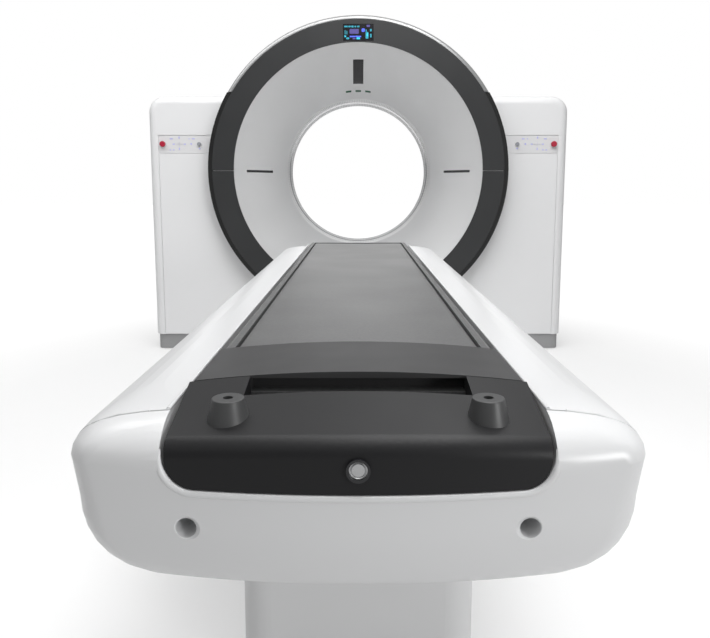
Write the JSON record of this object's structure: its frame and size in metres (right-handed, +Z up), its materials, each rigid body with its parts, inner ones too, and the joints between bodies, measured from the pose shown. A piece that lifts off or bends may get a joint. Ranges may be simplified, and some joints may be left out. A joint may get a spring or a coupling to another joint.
{
  "type": "ct scanner",
  "caption": "Ring-shaped tomography gantry between two side housings, with a funnelled patient bore and a long patient table in front of it whose cradle slides into the bore.",
  "frame": {"origin": "on the floor, under the middle of the whole machine", "axes": "+Z up, +Y from the foot of the table into the gantry, +X to the right seen from the foot"},
  "size_m": [2.35, 3.9374, 1.85],
  "materials": {
    "cover_white": "satin moulded cover",
    "table_white": "smooth satin cover",
    "strip_white": "satin panel",
    "funnel_silver": "metallic silver paint",
    "liner_grey": "satin",
    "beam_clear": "smooth polycarbonate",
    "ring_dark": "satin dark grey",
    "rim_grey": "satin light grey",
    "trim_black": "satin black",
    "window_dark": "dark polycarbonate",
    "display_glass": "dark glass front",
    "lamp_green": "clear lamp covers",
    "stop_red": "red push button",
    "hold_grey": "grey push button",
    "plinth_grey": "textured kick plinth",
    "pedestal_grey": "satin grey paint",
    "frame_steel": "powder coat",
    "cabinet_steel": "painted sheet",
    "rotor_cast": "machined casting",
    "race_steel": "ground steel",
    "slip_brass": "polished tracks",
    "tube_steel": "painted housing",
    "unit_grey": "painted housing",
    "motor_grey": "painted housing",
    "pulley_steel": "machined",
    "belt_rubber": "ribbed",
    "column_steel": "drawn steel",
    "guide_steel": "ground guides",
    "rail_alu": "anodised",
    "cradle_grey": "carbon skin, satin",
    "mattress_grey": "smooth sealed foam skin",
    "end_dark": "fine texture",
    "post_dark": "fine texture",
    "bezel_black": "gloss black",
    "release_silver": "turned"
  },
  "bodies": {
    "base": {"front_funnel": "funnel_silver", "scan_windows": "window_dark", "breathing_lamps": "lamp_green", "rear_funnel": "funnel_silver", "bore_liner": "liner_grey", "beam_window": "beam_clear", "ring_cover_upper": "ring_dark", "ring_cover_lower": "ring_dark", "gantry_display": "display_glass", "crown_rim": "rim_grey", "side_trims": "trim_black", "top_cover": "cover_white", "rear_ring_cover": "ring_dark", "front_shell_left": "cover_white", "front_shell_right": "cover_white", "service_doors": "cover_white", "rear_shells": "cover_white", "lower_panels": "cover_white", "plinth": "plinth_grey", "gantry_base_frame": "frame_steel", "electronics_cabinets": "cabinet_steel", "control_strips": "strip_white", "stator_frame": "frame_steel", "bearing_outer_race": "race_steel", "drive_motor": "motor_grey", "drive_belt": "belt_rubber", "floor_channel": "frame_steel", "table_base_plate": "frame_steel", "pedestal_cover_fixed": "pedestal_grey", "lift_columns_fixed": "column_steel"},
    "rotor": {"rotor_plate": "rotor_cast", "bearing_inner_race": "race_steel", "slip_ring": "slip_brass", "xray_tube": "tube_steel", "collimator": "tube_steel", "high_voltage_tank": "unit_grey", "inverter_unit": "unit_grey", "detector_array": "unit_grey"},
    "pulley": {"motor_pulley": "pulley_steel"},
    "lift_stage": {"lift_columns_moving": "column_steel", "table_frame": "frame_steel", "cradle_guides": "guide_steel", "table_side_covers": "table_white", "table_underside_cover": "table_white", "accessory_rails": "rail_alu", "foot_end_cover": "table_white", "foot_console": "end_dark", "accessory_posts": "post_dark", "release_bezel_ring": "bezel_black", "cradle_motor": "motor_grey", "pedestal_cover_moving": "pedestal_grey"},
    "cradle_stage": {"cradle": "cradle_grey", "mattress": "mattress_grey", "cradle_end_block": "end_dark", "guide_carriages": "guide_steel"},
    "stop_left": {"emergency_stop_left": "stop_red"},
    "stop_right": {"emergency_stop_right": "stop_red"},
    "hold_left": {"hold_button_left": "hold_grey"},
    "hold_right": {"hold_button_right": "hold_grey"},
    "release": {"release_button": "release_silver"}
  },
  "joints": [
    {"name": "table_lift", "type": "slide", "parent": "base", "child": "lift_stage", "axis": [0, 0, 1], "range_m": [0, 0.25]},
    {"name": "cradle_slide", "type": "slide", "parent": "lift_stage", "child": "cradle_stage", "axis": [0, 1, 0], "range_m": [0, 1.6]},
    {"name": "rotor_spin", "type": "hinge", "parent": "base", "child": "rotor", "pos_m": [0, 1.4635, 1.025], "axis": [0, 1, 0], "continuous": true},
    {"name": "pulley_spin", "type": "hinge", "parent": "base", "child": "pulley", "pos_m": [0.67412, 1.4635, 0.45935], "axis": [0, 1, 0], "continuous": true},
    {"name": "stop_left_push", "type": "slide", "parent": "base", "child": "stop_left", "axis": [0, 1, 0], "range_m": [0, 0.004], "stiffness_N_per_m": 900},
    {"name": "stop_right_push", "type": "slide", "parent": "base", "child": "stop_right", "axis": [0, 1, 0], "range_m": [0, 0.004], "stiffness_N_per_m": 900},
    {"name": "hold_left_push", "type": "slide", "parent": "base", "child": "hold_left", "axis": [0, 1, 0], "range_m": [0, 0.002], "stiffness_N_per_m": 900},
    {"name": "hold_right_push", "type": "slide", "parent": "base", "child": "hold_right", "axis": [0, 1, 0], "range_m": [0, 0.002], "stiffness_N_per_m": 900},
    {"name": "release_push", "type": "slide", "parent": "lift_stage", "child": "release", "axis": [0, 1, 0], "range_m": [0, 0.004], "stiffness_N_per_m": 900}
  ],
  "couplings": [
    {"joint": "pulley_spin", "follows": "rotor_spin", "ratio": 13}
  ]
}
